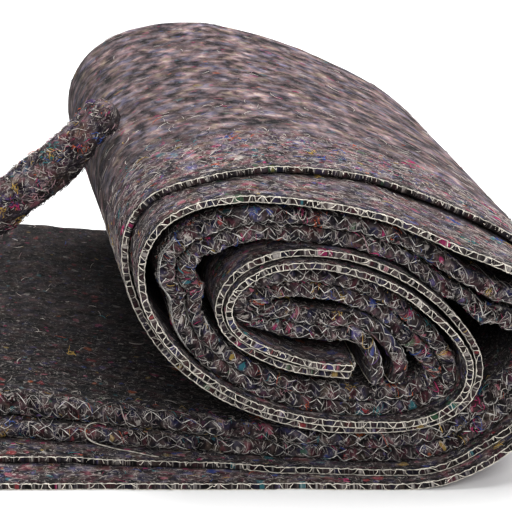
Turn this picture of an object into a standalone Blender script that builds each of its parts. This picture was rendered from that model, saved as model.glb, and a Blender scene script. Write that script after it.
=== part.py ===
"""A recycled-felt moving blanket, folded lengthwise to a strip of six plies and wound into a roll.

The roll stands on the flat rest of the strip, and a loose twisted felt tie leans on its shoulder.
+X runs along the strip towards the roll, +Y from the roll's front face to its back, +Z up.
"""

import math
from collections import namedtuple

import bpy
import numpy as np
from mathutils import Vector
from mathutils.geometry import tessellate_polygon

MM = 0.001

# The cloth, laid out flat: 1.50 m across its six panels and 1.30 m along the strip.
BLANKET_LENGTH = 1300.0 * MM
BLANKET_WIDTH = 1500.0 * MM
PLIES = 6
PANEL = BLANKET_WIDTH / PLIES
FELT = 2.4 * MM

# The roll leans: its back end lies further left than its front end, and is narrower and higher, most
# of all near its middle. The lean grows over a stretch of the flat strip before the roll.
LEAN = math.tan(math.radians(10.0))
BACK_NARROWING = 0.04
BACK_RISE = 0.10
RISE_MIDDLE = -10.0 * MM
RISE_REACH = 115.0 * MM
LEAN_FROM = -200.0 * MM
LEAN_TO = -20.0 * MM

# At the back the plies lie closer: so much of their looseness is left over the least gap.
BACK_LOOSENESS = 0.55
LEAST_GAP = 0.4 * MM

# The inner plies swing in and out along the strip. The shares say how much each gap takes of it.
RIPPLE_LENGTH = 27.0 * MM
RIPPLE_SHARES = (0, 0.5, 0.1, 0.3, 0.1)

# The path is followed at 1 mm. A pass of softening blends each of its points with its neighbours.
SPACING = 1.0 * MM
PLAN_PASSES = 60
EVEN_PASSES = 800
CLOSE_PASSES = 300
CLOSE_FROM = 310.0 * MM
CLOSE_OVER = 100.0 * MM

# The strip's inner end turns down on a tight arc of its outermost ply.
END_RADIUS = 4.0 * MM
END_TURN = math.radians(80.0)
END_STEPS = 24

BLANKET_COLOUR = (0.13, 0.11, 0.105)
TIE_COLOUR = (0.12, 0.10, 0.10)

# Sizes of the solid's facets.
LONGEST_STEP = 60.0 * MM
WIDEST_TURN = math.radians(24.0)
RIPPLE_STEPS = 4
FULL_RIPPLE = 1.2 * MM
WRAP_FACETS = 5
FRONT_FOLD_FACETS = 3
BACK_FOLD_FACETS = 2
FOLD_CLEARANCE = 0.9 * MM

# One row for each place along the strip, in millimetres, from its flat end to the end in the core.
# x, z: the outer face of the outermost ply. gap_12 ... gap_56: the air between neighbouring plies at
# the front. ripple: how far the inner plies swing. edge_1, edge_2: where the free front edges of the
# two outer plies lie. fold_34, fold_56: where the two front folds lie. dip: how far the outermost
# ply's front edge sinks towards the next ply.
Place = namedtuple(
    "Place", "x z gap_12 gap_23 gap_34 gap_45 gap_56 ripple edge_1 edge_2 fold_34 fold_56 dip",
    defaults=(0,),
)
FLAT = (
    Place(-548, 0, 0.5, 0.6, 0.4, 0.8, 1.6, 0, 2, 20, 37, 44),
    Place(-330, 0, 0.6, 1.2, 0.5, 0.7, 3.0, 0, 0, 24, 43, 51),
    Place(-190, 0, 0.5, 0.9, 0.5, 1.4, 3.6, 0, 1, 21, 40, 47),
    Place(-120, 0, 0.5, 0.8, 0.5, 1.0, 3.6, 0, 0, 19, 34, 41),
    Place(-60, 0, 0.4, 0.6, 0.4, 0.6, 1.4, 0, 0, 14, 23, 26),
)
ROLL = (
    Place(0, 0, 0.4, 0.4, 0.4, 0.4, 0.4, 0, 0, 7, 13, 13),
    Place(32, 1.5, 0.5, 0.5, 0.4, 0.5, 0.4, 0, 0, 6, 12, 12),
    Place(57, 12.5, 1.2, 1.2, 0.6, 1.0, 0.6, 0, 2, 8, 12, 12),
    Place(80, 29, 1.2, 3.4, 0.8, 1.4, 0.8, 0.4, 10, 10, 13, 13, 0.8),
    Place(95, 49, 1.4, 5.2, 1.2, 2.4, 1.4, 0.3, 19, 10, 14, 14, 1.6),
    Place(92, 69, 1.8, 5.8, 1.2, 2.4, 2.2, 0.3, 32, 7, 15, 14, 2.6),
    Place(76, 85, 2.4, 8.0, 1.8, 3.4, 1.6, 1.2, 46, 4, 15, 14, 4.4),
    Place(50, 96.5, 2.0, 5.6, 1.0, 2.2, 1.0, 1.0, 52, 6, 15, 15, 4.0),
    Place(15, 106.5, 1.2, 2.2, 0.5, 0.8, 0.5, 0.3, 49, 11, 15, 15, 1.2),
    Place(-22, 112.5, 1.0, 2.9, 0.6, 0.9, 0.6, 0, 38, 13, 15, 15, 0.8),
    Place(-52, 110.5, 1.0, 4.7, 0.7, 1.2, 0.7, 0, 31, 15, 15, 15, 0.8),
    Place(-73, 101.5, 1.2, 5.6, 0.9, 1.2, 0.9, 0, 35, 14, 15, 15, 1.6),
    Place(-82.5, 85.5, 1.6, 6.4, 1.2, 1.4, 1.2, 0.4, 35, 12, 15, 14, 2.6),
    Place(-80.3, 65, 1.6, 6.6, 1.4, 1.4, 1.4, 0.6, 26, 12, 15, 14, 1.8),
    Place(-67.4, 45.8, 1.2, 2.4, 0.7, 0.7, 0.7, 0.2, 16, 11, 15, 15, 0.6),
    Place(-44.6, 29.6, 0.5, 0.9, 0.4, 0.5, 0.4, 0, 12, 10, 15, 15),
    Place(-15, 19.5, 0.4, 0.4, 0.4, 0.4, 0.4, 0, 12, 10, 15, 15),
    Place(13, 17.6, 0.4, 0.4, 0.4, 0.4, 0.4, 0, 12, 10, 15, 15),
    Place(32, 20.6, 0.6, 0.8, 0.4, 0.6, 0.4, 0, 12, 9, 15, 15),
    Place(45.5, 29.5, 1.2, 1.4, 0.5, 0.9, 1.0, 0, 12, 9, 15, 15),
    Place(50, 44, 1.8, 2.4, 0.6, 1.2, 1.3, 0.1, 12, 9, 15, 15),
    Place(42, 61, 2.2, 3.0, 0.6, 1.4, 1.1, 0.4, 12, 9, 15, 15),
    Place(22, 78.6, 2.0, 2.0, 0.5, 0.8, 0.5, 0.2, 12, 9, 15, 15),
    Place(-5, 88.2, 2.0, 2.2, 0.5, 0.6, 0.5, 0, 12, 9, 15, 15),
    Place(-29, 87, 1.2, 1.2, 0.5, 0.6, 0.5, 0, 12, 9, 15, 15),
    Place(-42.6, 79.4, 1.0, 0.7, 0.8, 0.6, 1.1, 0, 12, 9, 15, 15),
    Place(-48.8, 67.5, 1.0, 0.5, 0.6, 0.6, 1.3, 0, 12, 9, 15, 15),
    Place(-45.8, 56.8, 1.0, 1.2, 1.0, 0.9, 1.4, 0, 12, 9, 15, 14),
    Place(-36, 48.6, 1.4, 3.0, 0.9, 0.9, 1.2, 0, 12, 9, 15, 14),
    Place(-19, 41.6, 1.8, 7.2, 0.4, 0.5, 0.4, 0, 12, 9, 14, 14),
    Place(0, 39.4, 1.6, 7.8, 0.4, 0.5, 0.4, 0, 12, 9, 13, 13),
)

# One row for each place round the inner end's arc, in millimetres but for share, which is how far
# round it is. tuck: how far back the front corners of the two outer plies are tucked. The two front
# folds part round a hollow and meet again at the very end.
InnerEnd = namedtuple("InnerEnd", "share gap_12 gap_23 gap_34 gap_45 gap_56 tuck")
INNER_END = (
    InnerEnd(0.2, 1.2, 6.4, 0.5, 0.8, 0.4, 8),
    InnerEnd(0.5, 0.6, 3.0, 0.4, 3.2, 0.4, 90),
    InnerEnd(0.8, 0.4, 0.8, 0.4, 5.6, 0.4, 160),
    InnerEnd(1.0, 0.4, 0.4, 0.4, 2.4, 0.4, 180),
)

# The twisted tie: its route's own points, in millimetres, from the roll's shoulder to its bare end.
TIE_DIAMETER = 18.0 * MM
TIE_STEP = 12.0 * MM
TIE_ROUTE = (
    (-93.8, 118, 117.8),
    (-96.6, 118, 114.9),
    (-99.5, 118, 112),
    (-105.3, 118, 106),
    (-114.5, 118, 96.4),
    (-126.7, 118, 85.6),
    (-139.5, 118, 76.2),
    (-155, 118, 65.6),
    (-171, 118, 54.8),
    (-187, 119, 44.8),
    (-203, 121, 36.8),
    (-220, 125, 32),
    (-238, 132, 30.6),
    (-258, 142, 30.6),
    (-276, 154, 30.6),
)


def spline(knots, values, start=None):
    """A reader for the cubic curve through values, with a given or a free slope at its start."""
    count = len(knots)
    step = np.diff(knots)
    rise = np.diff(values, axis=0) / step[:, None]
    matrix = np.zeros((count, count))
    right = np.zeros((count, values.shape[1]))
    for i in range(1, count - 1):
        matrix[i, i - 1 : i + 2] = step[i], 2 * (step[i - 1] + step[i]), step[i - 1]
        right[i] = 3 * (step[i] * rise[i - 1] + step[i - 1] * rise[i])
    matrix[0, :2] = (2, 1) if start is None else (1, 0)
    right[0] = 3 * rise[0] if start is None else start
    matrix[-1, -2:] = 1, 2
    right[-1] = 3 * rise[-1]
    slope = np.linalg.solve(matrix, right)

    def read(at):
        i = np.clip(np.searchsorted(knots, at) - 1, 0, count - 2)
        t = ((at - knots[i]) / step[i])[:, None]
        run = step[i][:, None]
        return (
            (1 + 2 * t) * (1 - t) ** 2 * values[i]
            + t * (1 - t) ** 2 * run * slope[i]
            + t**2 * (3 - 2 * t) * values[i + 1]
            + t**2 * (t - 1) * run * slope[i + 1]
        )

    return read


def lengths(points):
    """How far along a line each of its points is."""
    return np.concatenate([[0], np.cumsum(np.linalg.norm(np.diff(points, axis=0), axis=1))])


def smooth_step(t):
    t = np.clip(t, 0, 1)
    return t * t * (3 - 2 * t)


def softened(values, passes):
    for _ in range(passes):
        padded = np.pad(values, ((1, 1), (0, 0)), mode="edge")
        values = (padded[:-2] + 2 * padded[1:-1] + padded[2:]) / 4
    return values


def strip_path():
    """The strip's outer face and its fold plan, densely: (distance, x and z, the other columns)."""
    rows = np.array(ROLL) * MM
    knots = lengths(rows[:, :2])
    at = np.linspace(0, knots[-1], round(knots[-1] / SPACING) + 1)
    line = spline(knots, rows[:, :2], start=np.array([1.0, 0.0]))(at)
    wound = lengths(line)
    flat_length = BLANKET_LENGTH - wound[-1] - END_RADIUS * END_TURN
    flat_at = np.linspace(-flat_length, 0, round(flat_length / SPACING) + 1)[:-1]
    flat_rows = np.array(FLAT) * MM
    plan_at = np.concatenate([flat_rows[:, 0], np.interp(knots, at, wound)])
    plan_rows = np.concatenate([flat_rows[:, 2:], rows[:, 2:]])
    along = np.concatenate([flat_at, wound])
    plan = np.stack([np.interp(along, plan_at, column) for column in plan_rows.T], axis=1)
    flat_line = np.stack([flat_at, np.zeros(len(flat_at))], axis=1)
    return along, np.concatenate([flat_line, line]), softened(plan, PLAN_PASSES)


def rib_headings(along, line):
    """Which way the strip heads. The plies turn more evenly than its outer face does."""
    heading = np.unwrap(np.arctan2(*np.gradient(line, axis=0).T[::-1]))[:, None]
    even, close = softened(heading, EVEN_PASSES), softened(heading, CLOSE_PASSES)
    inner = smooth_step((along - CLOSE_FROM) / CLOSE_OVER)[:, None]
    return (even + (close - even) * inner)[:, 0]


def turned_end(start, heading, plan):
    """The inner end's arc, from the path's last point: (distance, x and z, heading, the plan)."""
    share = np.linspace(0, 1, END_STEPS + 1)[1:]
    turned = heading - END_TURN * share
    outwards = np.stack([-np.sin(turned), np.cos(turned)], axis=1)
    centre = start + END_RADIUS * np.array([math.sin(heading), -math.cos(heading)])
    rows = np.array(INNER_END)
    shares = np.concatenate([[0], rows[:, 0]])
    columns = np.tile(plan, (END_STEPS, 1))
    for i in range(PLIES - 1):
        columns[:, i] = np.interp(share, shares, np.concatenate([[plan[i]], rows[:, i + 1] * MM]))
    tuck = np.interp(share, shares, np.concatenate([[0], rows[:, -1] * MM]))
    columns[:, 6:8] += tuck[:, None]
    return END_RADIUS * END_TURN * share, centre + END_RADIUS * outwards, turned, columns


def whole_strip():
    """The strip from its flat end to its turned inner end: (distance, x and z, heading, the plan)."""
    along, line, plan = strip_path()
    heading = rib_headings(along, line)
    past, end_line, end_heading, end_plan = turned_end(line[-1], heading[-1], plan[-1])
    return (
        np.concatenate([along, along[-1] + past]),
        np.concatenate([line, end_line]),
        np.concatenate([heading, end_heading]),
        np.concatenate([plan, end_plan]),
    )


def stations():
    """Where the solid's sections stand: closer together where the strip turns or ripples."""
    along, line, heading, plan = whole_strip()
    step = np.diff(along)
    rippled = smooth_step(plan[1:, 5] / FULL_RIPPLE)
    effort = step / LONGEST_STEP + np.abs(np.diff(heading)) / WIDEST_TURN
    effort = effort + rippled * step * RIPPLE_STEPS / RIPPLE_LENGTH
    effort = np.concatenate([[0], np.cumsum(effort)])
    at = np.interp(np.linspace(0, effort[-1], round(effort[-1]) + 1), effort, along)
    pick = [np.interp(at, along, column) for column in (*line.T, heading, *plan.T)]
    return at, np.stack(pick[:2], axis=1), pick[2], np.stack(pick[3:], axis=1)


def ply_heights(gaps, swing, dip):
    """How far each ply's middle is from the strip's outer face; the swing grows towards the inside."""
    heights = [FELT / 2 + dip]
    for gap, share in zip(gaps, RIPPLE_SHARES):
        heights.append(heights[-1] + FELT + gap + swing * share)
    return heights


def arc(centre, radius, start, turn, facets):
    """The points of an arc between its two ends, without them, as (depth, height)."""
    angles = [start + turn * i / facets for i in range(1, facets)]
    return [(centre[0] + radius * math.cos(a), centre[1] + radius * math.sin(a)) for a in angles]


def section(front, back, edges, folds):
    """The outline of the folded sheet across the strip, as (depth, height) round one closed loop.

    The sheet runs back from edge 1 on ply 1, wraps round to ply 6, and comes back and forth through
    plies 5, 4 and 3 to end at edge 2 on ply 2.
    """
    half = FELT / 2
    wrap_radius = (back[5] - back[0]) / 2
    wrap_depth = folds[0] + PANEL - wrap_radius
    inner_depth = wrap_depth - FOLD_CLEARANCE
    right, left = [], []

    def ply(height_from, depth_from, height_to, depth_to, side):
        for height, depth in ((height_from, depth_from), (height_to, depth_to)):
            right.append((depth, height - side * half))
            left.append((depth, height + side * half))

    def fold(depth, low, high, start, turn, facets, hollow=False):
        centre, radius = (depth, (low + high) / 2), (high - low) / 2
        outer = right if turn > 0 else left
        inner = left if turn > 0 else right
        outer.extend(arc(centre, radius + half, start, turn, facets))
        if hollow:
            inner.extend(arc(centre, radius - half, start, turn, facets))

    down, up, half_turn = -math.pi / 2, math.pi / 2, math.pi
    radius_56 = (front[5] - front[4]) / 2
    radius_34 = (front[3] - front[2]) / 2
    ply(front[0], edges[0], back[0], wrap_depth, 1)
    fold(wrap_depth, back[0], back[5], down, half_turn, WRAP_FACETS, hollow=True)
    ply(back[5], wrap_depth, front[5], folds[1] + radius_56, -1)
    fold(folds[1] + radius_56, front[4], front[5], up, half_turn, FRONT_FOLD_FACETS)
    ply(front[4], folds[1] + radius_56, back[4], inner_depth, 1)
    fold(inner_depth, back[3], back[4], up, -half_turn, BACK_FOLD_FACETS)
    ply(back[3], inner_depth, front[3], folds[0] + radius_34, -1)
    fold(folds[0] + radius_34, front[2], front[3], up, half_turn, FRONT_FOLD_FACETS)
    ply(front[2], folds[0] + radius_34, back[2], inner_depth, 1)
    fold(inner_depth, back[1], back[2], up, -half_turn, BACK_FOLD_FACETS)
    ply(back[1], inner_depth, front[1], edges[1], -1)
    return right + left[::-1]


def placed(outline, foot, heading, leaning):
    """A section's outline stood up on the strip's path, with the roll's lean, narrowing and rise."""
    points = []
    for depth, height in outline:
        x = foot[0] - math.sin(heading) * height
        z = foot[1] + math.cos(heading) * height
        rise = BACK_RISE * max(0, 1 - ((x - RISE_MIDDLE) / RISE_REACH) ** 2)
        back = leaning * depth / PANEL
        x = x * (1 - back * BACK_NARROWING) - leaning * LEAN * depth
        points.append((x, depth, z * (1 + back * rise)))
    return points


def felt_material(name, colour):
    material = bpy.data.materials.new(name)
    material.use_nodes = True
    shader = material.node_tree.nodes["Principled BSDF"]
    shader.inputs["Base Color"].default_value = (*colour, 1)
    shader.inputs["Roughness"].default_value = 0.95
    shader.inputs["Metallic"].default_value = 0.0
    return material


def blanket_mesh():
    """The folded sheet as one closed mesh: a section at each station, joined, and its two end faces."""
    at, feet, headings, plan = stations()
    leaning = smooth_step((feet[:, 0] - LEAN_FROM) / (LEAN_TO - LEAN_FROM))
    leaning[at > 0] = 1
    points, outline = [], None
    for k, distance in enumerate(at):
        gaps, ripple, edges, folds, dip = np.split(plan[k], (5, 6, 8, 10))
        swing = ripple[0] * math.sin(2 * math.pi * distance / RIPPLE_LENGTH)
        front = ply_heights(gaps, swing, dip[0])
        back = ply_heights(gaps * BACK_LOOSENESS + (1 - BACK_LOOSENESS) * LEAST_GAP, 0, 0)
        outline = section(front, back, edges, folds)
        points.extend(placed(outline, feet[k], headings[k], leaning[k]))
    ring = len(outline)
    faces = []
    for k in range(len(at) - 1):
        for i in range(ring):
            j = (i + 1) % ring
            faces.append((k * ring + i, k * ring + j, (k + 1) * ring + j, (k + 1) * ring + i))
    for start, turned in ((0, True), (len(points) - ring, False)):
        flat = [Vector((p[1], p[2], 0)) for p in points[start : start + ring]]
        for triangle in tessellate_polygon([flat]):
            corners = [start + i for i in triangle]
            faces.append(tuple(corners[::-1] if turned else corners))
    mesh = bpy.data.meshes.new("blanket")
    mesh.from_pydata(points, [], faces)
    mesh.shade_smooth()
    return mesh


def tie_curve():
    """The tie's round cord along its route."""
    route = np.array(TIE_ROUTE) * MM
    knots = lengths(route)
    at = np.linspace(0, knots[-1], round(knots[-1] / TIE_STEP) + 1)
    line = spline(knots, route)(at)
    curve = bpy.data.curves.new("felt_tie", "CURVE")
    curve.dimensions = "3D"
    curve.bevel_depth = TIE_DIAMETER / 2
    curve.bevel_resolution = 3
    curve.use_fill_caps = True
    path = curve.splines.new("POLY")
    path.points.add(len(line) - 1)
    for point, place in zip(path.points, line):
        point.co = (*place, 1)
    return curve


def build():
    """Clears the scene and adds both pieces, with the bottom centre of their box at the origin."""
    for old in list(bpy.data.objects):
        bpy.data.objects.remove(old, do_unlink=True)
    mesh = blanket_mesh()
    points = np.array([vertex.co for vertex in mesh.vertices])
    middle = (points.min(axis=0) + points.max(axis=0)) / 2
    for name, data, felt, colour in (
        ("blanket", mesh, "recycled_felt", BLANKET_COLOUR),
        ("felt_tie", tie_curve(), "twisted_felt", TIE_COLOUR),
    ):
        data.materials.append(felt_material(felt, colour))
        item = bpy.data.objects.new(name, data)
        item.location = (-middle[0], -middle[1], -points[:, 2].min())
        bpy.context.collection.objects.link(item)


build()
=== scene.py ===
"""Looks of the felt moving blanket: the folded and rolled sheet, its stitching and its twisted tie."""

import math
from collections import namedtuple
from functools import partialmethod

import bpy
import numpy as np
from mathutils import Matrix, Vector


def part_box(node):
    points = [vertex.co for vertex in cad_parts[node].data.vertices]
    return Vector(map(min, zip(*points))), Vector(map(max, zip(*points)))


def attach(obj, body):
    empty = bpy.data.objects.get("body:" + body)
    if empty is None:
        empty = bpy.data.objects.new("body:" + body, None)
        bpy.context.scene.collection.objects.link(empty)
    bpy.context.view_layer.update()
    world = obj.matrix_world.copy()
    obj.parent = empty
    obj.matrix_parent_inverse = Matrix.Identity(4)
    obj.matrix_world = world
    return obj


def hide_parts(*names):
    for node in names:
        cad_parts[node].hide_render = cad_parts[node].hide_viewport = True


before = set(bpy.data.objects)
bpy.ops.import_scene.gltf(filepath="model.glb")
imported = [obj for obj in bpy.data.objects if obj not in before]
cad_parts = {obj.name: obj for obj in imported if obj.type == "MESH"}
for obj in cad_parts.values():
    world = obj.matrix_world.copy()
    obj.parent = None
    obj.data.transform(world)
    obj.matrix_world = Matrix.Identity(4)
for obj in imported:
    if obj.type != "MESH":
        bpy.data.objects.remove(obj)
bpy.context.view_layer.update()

MM = 0.001

# The cloth, as the solids have it: 1.50 m across its six panels and 1.30 m along the strip.
BLANKET_LENGTH = 1300.0 * MM
BLANKET_WIDTH = 1500.0 * MM
PANEL = BLANKET_WIDTH / 6
FELT = 2.4 * MM
HALF = FELT / 2

# The roll's lean, narrowing and rise towards its back.
LEAN = math.tan(math.radians(10.0))
BACK_NARROWING = 0.04
BACK_RISE = 0.10
RISE_MIDDLE = -10.0 * MM
RISE_REACH = 115.0 * MM
LEAN_FROM = -200.0 * MM
LEAN_TO = -20.0 * MM

# The air between the plies: how much of it is left at the back, the least there is, the inner plies'
# swing along the strip with each gap's share of it, and how much the gaps wander.
BACK_LOOSENESS = 0.55
LEAST_GAP = 0.4 * MM
RIPPLE_LENGTH = 27.0 * MM
RIPPLE_SHARES = (0, 0.5, 0.1, 0.3, 0.1)
UNEVEN = 0.30
# How far each front edge and fold wanders in depth, and over what length along the strip.
SET_BACKS = ((0.7, 70), (1.0, 55), (1.0, 38), (1.3, 31))
FOLD_CLEARANCE = 0.9 * MM

# The path's spacing, how often its fold plan and its headings are softened, and from where on in the
# core the plies head more nearly as the outer face does.
SPACING = 1.0 * MM
PLAN_PASSES = 60
EVEN_PASSES = 800
CLOSE_PASSES = 300
CLOSE_FROM = 310.0 * MM
CLOSE_OVER = 100.0 * MM

PLIES = 6
END_RADIUS = 4.0 * MM
END_TURN = math.radians(80.0)
END_STEPS = 24

# The visible mesh: its step along the strip, and its stations round the inner end.
STATION_STEP = 3.2 * MM
END_STATIONS = 14

# One row for each place along the strip, in millimetres, from its flat end to the end in the core.
# x, z: the outer face of the outermost ply. gap_12 ... gap_56: the air between neighbouring plies at
# the front. ripple: how far the inner plies swing. edge_1, edge_2: how far back the free front edges
# of the two outer plies lie. fold_34, fold_56: the same for the two front folds. dip: how far the
# outermost ply's front edge sinks towards the next ply.
Place = namedtuple(
    "Place", "x z gap_12 gap_23 gap_34 gap_45 gap_56 ripple edge_1 edge_2 fold_34 fold_56 dip",
    defaults=(12, 9, 15, 15, 0),
)
FLAT = [Place(*row) for row in (
    (-548, 0, 0.5, 0.6, 0.4, 0.8, 1.6, 0, 2, 20, 37, 44),
    (-330, 0, 0.6, 1.2, 0.5, 0.7, 3.0, 0, 0, 24, 43, 51),
    (-190, 0, 0.5, 0.9, 0.5, 1.4, 3.6, 0, 1, 21, 40, 47),
    (-120, 0, 0.5, 0.8, 0.5, 1.0, 3.6, 0, 0, 19, 34, 41),
    (-60, 0, 0.4, 0.6, 0.4, 0.6, 1.4, 0, 0, 14, 23, 26),
)]
ROLL = [Place(*row) for row in (
    (0, 0, 0.4, 0.4, 0.4, 0.4, 0.4, 0, 0, 7, 13, 13),
    (32, 1.5, 0.5, 0.5, 0.4, 0.5, 0.4, 0, 0, 6, 12, 12),
    (57, 12.5, 1.2, 1.2, 0.6, 1.0, 0.6, 0, 2, 8, 12, 12),
    (80, 29, 1.2, 3.4, 0.8, 1.4, 0.8, 0.4, 10, 10, 13, 13, 0.8),
    (95, 49, 1.4, 5.2, 1.2, 2.4, 1.4, 0.3, 19, 10, 14, 14, 1.6),
    (92, 69, 1.8, 5.8, 1.2, 2.4, 2.2, 0.3, 32, 7, 15, 14, 2.6),
    (76, 85, 2.4, 8.0, 1.8, 3.4, 1.6, 1.2, 46, 4, 15, 14, 4.4),
    (50, 96.5, 2.0, 5.6, 1.0, 2.2, 1.0, 1.0, 52, 6, 15, 15, 4.0),
    (15, 106.5, 1.2, 2.2, 0.5, 0.8, 0.5, 0.3, 49, 11, 15, 15, 1.2),
    (-22, 112.5, 1.0, 2.9, 0.6, 0.9, 0.6, 0, 38, 13, 15, 15, 0.8),
    (-52, 110.5, 1.0, 4.7, 0.7, 1.2, 0.7, 0, 31, 15, 15, 15, 0.8),
    (-73, 101.5, 1.2, 5.6, 0.9, 1.2, 0.9, 0, 35, 14, 15, 15, 1.6),
    (-82.5, 85.5, 1.6, 6.4, 1.2, 1.4, 1.2, 0.4, 35, 12, 15, 14, 2.6),
    (-80.3, 65, 1.6, 6.6, 1.4, 1.4, 1.4, 0.6, 26, 12, 15, 14, 1.8),
    (-67.4, 45.8, 1.2, 2.4, 0.7, 0.7, 0.7, 0.2, 16, 11, 15, 15, 0.6),
    (-44.6, 29.6, 0.5, 0.9, 0.4, 0.5, 0.4, 0, 12, 10, 15, 15),
    (-15, 19.5, 0.4, 0.4, 0.4, 0.4, 0.4, 0, 12, 10, 15, 15),
    (13, 17.6, 0.4, 0.4, 0.4, 0.4, 0.4, 0, 12, 10, 15, 15),
    (32, 20.6, 0.6, 0.8, 0.4, 0.6, 0.4, 0),
    (45.5, 29.5, 1.2, 1.4, 0.5, 0.9, 1.0, 0),
    (50, 44, 1.8, 2.4, 0.6, 1.2, 1.3, 0.1),
    (42, 61, 2.2, 3.0, 0.6, 1.4, 1.1, 0.4),
    (22, 78.6, 2.0, 2.0, 0.5, 0.8, 0.5, 0.2),
    (-5, 88.2, 2.0, 2.2, 0.5, 0.6, 0.5, 0),
    (-29, 87, 1.2, 1.2, 0.5, 0.6, 0.5, 0),
    (-42.6, 79.4, 1.0, 0.7, 0.8, 0.6, 1.1, 0),
    (-48.8, 67.5, 1.0, 0.5, 0.6, 0.6, 1.3, 0),
    (-45.8, 56.8, 1.0, 1.2, 1.0, 0.9, 1.4, 0, 12, 9, 15, 14),
    (-36, 48.6, 1.4, 3.0, 0.9, 0.9, 1.2, 0, 12, 9, 15, 14),
    (-19, 41.6, 1.8, 7.2, 0.4, 0.5, 0.4, 0, 12, 9, 14, 14),
    (0, 39.4, 1.6, 7.8, 0.4, 0.5, 0.4, 0, 12, 9, 13, 13),
)]

# One row for each place round the inner end's arc: how far round it is, the five gaps, and how far
# back the front corners of the two outer plies are tucked, in millimetres. The two front folds part
# round a hollow and meet again at the very end.
INNER_END = (
    (0.2, 1.2, 6.4, 0.5, 0.8, 0.4, 8),
    (0.5, 0.6, 3.0, 0.4, 3.2, 0.4, 90),
    (0.8, 0.4, 0.8, 0.4, 5.6, 0.4, 160),
    (1.0, 0.4, 0.4, 0.4, 2.4, 0.4, 180),
)


def generator(name):
    """A random generator of its own for each thing that is scattered, the same each run."""
    return np.random.default_rng([ord(letter) for letter in name])


def smooth_step(t):
    t = np.clip(t, 0, 1)
    return t * t * (3 - 2 * t)


def wander(name, at, wavelength):
    """A smooth wandering line between about -1 and 1, read at the places given."""
    random = generator(name)
    total = np.zeros(len(at))
    for share, stretch in ((0.5, 1.0), (0.3, 0.57), (0.2, 0.31)):
        phase = random.uniform(0, 2 * math.pi)
        total += share * np.sin(2 * math.pi * at / (wavelength * stretch) + phase)
    return total


def spline(knots, values, start=None):
    """A reader for the cubic curve through values, with a given or a free slope at its start."""
    count = len(knots)
    step = np.diff(knots)
    rise = np.diff(values, axis=0) / step[:, None]
    matrix = np.zeros((count, count))
    right = np.zeros((count, values.shape[1]))
    for i in range(1, count - 1):
        matrix[i, i - 1 : i + 2] = step[i], 2 * (step[i - 1] + step[i]), step[i - 1]
        right[i] = 3 * (step[i] * rise[i - 1] + step[i - 1] * rise[i])
    matrix[0, :2] = (2, 1) if start is None else (1, 0)
    right[0] = 3 * rise[0] if start is None else start
    matrix[-1, -2:] = 1, 2
    right[-1] = 3 * rise[-1]
    slope = np.linalg.solve(matrix, right)

    def read(at):
        i = np.clip(np.searchsorted(knots, at) - 1, 0, count - 2)
        t = ((at - knots[i]) / step[i])[:, None]
        run = step[i][:, None]
        return (
            (1 + 2 * t) * (1 - t) ** 2 * values[i]
            + t * (1 - t) ** 2 * run * slope[i]
            + t**2 * (3 - 2 * t) * values[i + 1]
            + t**2 * (t - 1) * run * slope[i + 1]
        )

    return read


def lengths(points):
    """How far along a line each of its points is."""
    return np.concatenate([[0], np.cumsum(np.linalg.norm(np.diff(points, axis=0), axis=1))])


def read_columns(at, knots, grid):
    """Every column of a grid, read at places between its knots."""
    return np.stack([np.interp(at, knots, column) for column in grid.T], axis=-1)


def softened(values, passes):
    for _ in range(passes):
        padded = np.pad(values, ((1, 1), (0, 0)), mode="edge")
        values = (padded[:-2] + 2 * padded[1:-1] + padded[2:]) / 4
    return values


def strip_path():
    """The strip's outer face and its fold plan, densely: (distance, x and z, the other columns)."""
    rows = np.array(ROLL) * MM
    knots = lengths(rows[:, :2])
    at = np.linspace(0, knots[-1], round(knots[-1] / SPACING) + 1)
    line = spline(knots, rows[:, :2], start=np.array([1.0, 0.0]))(at)
    wound = lengths(line)
    flat_length = BLANKET_LENGTH - wound[-1] - END_RADIUS * END_TURN
    flat_at = np.linspace(-flat_length, 0, round(flat_length / SPACING) + 1)[:-1]
    flat_rows = np.array(FLAT) * MM
    plan_at = np.concatenate([flat_rows[:, 0], np.interp(knots, at, wound)])
    plan_rows = np.concatenate([flat_rows[:, 2:], rows[:, 2:]])
    along = np.concatenate([flat_at, wound])
    flat_line = np.stack([flat_at, np.zeros(len(flat_at))], axis=1)
    plan = softened(read_columns(along, plan_at, plan_rows), PLAN_PASSES)
    return along, np.concatenate([flat_line, line]), plan


def ply_headings(along, line):
    """Which way the strip heads. The plies turn more evenly than its outer face does."""
    heading = np.unwrap(np.arctan2(*np.gradient(line, axis=0).T[::-1]))[:, None]
    even, close = softened(heading, EVEN_PASSES), softened(heading, CLOSE_PASSES)
    inner = smooth_step((along - CLOSE_FROM) / CLOSE_OVER)[:, None]
    return (even + (close - even) * inner)[:, 0]


def turned_end(start, heading, plan):
    """The inner end's arc, from the path's last point: (distance, x and z, heading, the plan)."""
    share = np.linspace(0, 1, END_STEPS + 1)[1:]
    turned = heading - END_TURN * share
    outwards = np.stack([-np.sin(turned), np.cos(turned)], axis=1)
    centre = start + END_RADIUS * np.array([math.sin(heading), -math.cos(heading)])
    rows = np.array(INNER_END)
    first = np.array([*plan[: PLIES - 1], 0])
    knots = np.concatenate([[0], rows[:, 0]])
    changed = read_columns(share, knots, np.concatenate([[first], rows[:, 1:] * MM]))
    columns = np.tile(plan, (END_STEPS, 1))
    columns[:, : PLIES - 1] = changed[:, :-1]
    columns[:, PLIES : PLIES + 2] += changed[:, -1:]
    return END_RADIUS * END_TURN * share, centre + END_RADIUS * outwards, turned, columns


def whole_strip():
    """The strip from its flat end to its turned inner end: (distance, x and z, heading, the plan)."""
    along, line, plan = strip_path()
    heading = ply_headings(along, line)
    past, *rest = turned_end(line[-1], heading[-1], plan[-1])
    parts = zip((along, line, heading, plan), (along[-1] + past, *rest))
    return [np.concatenate(part) for part in parts]


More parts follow.
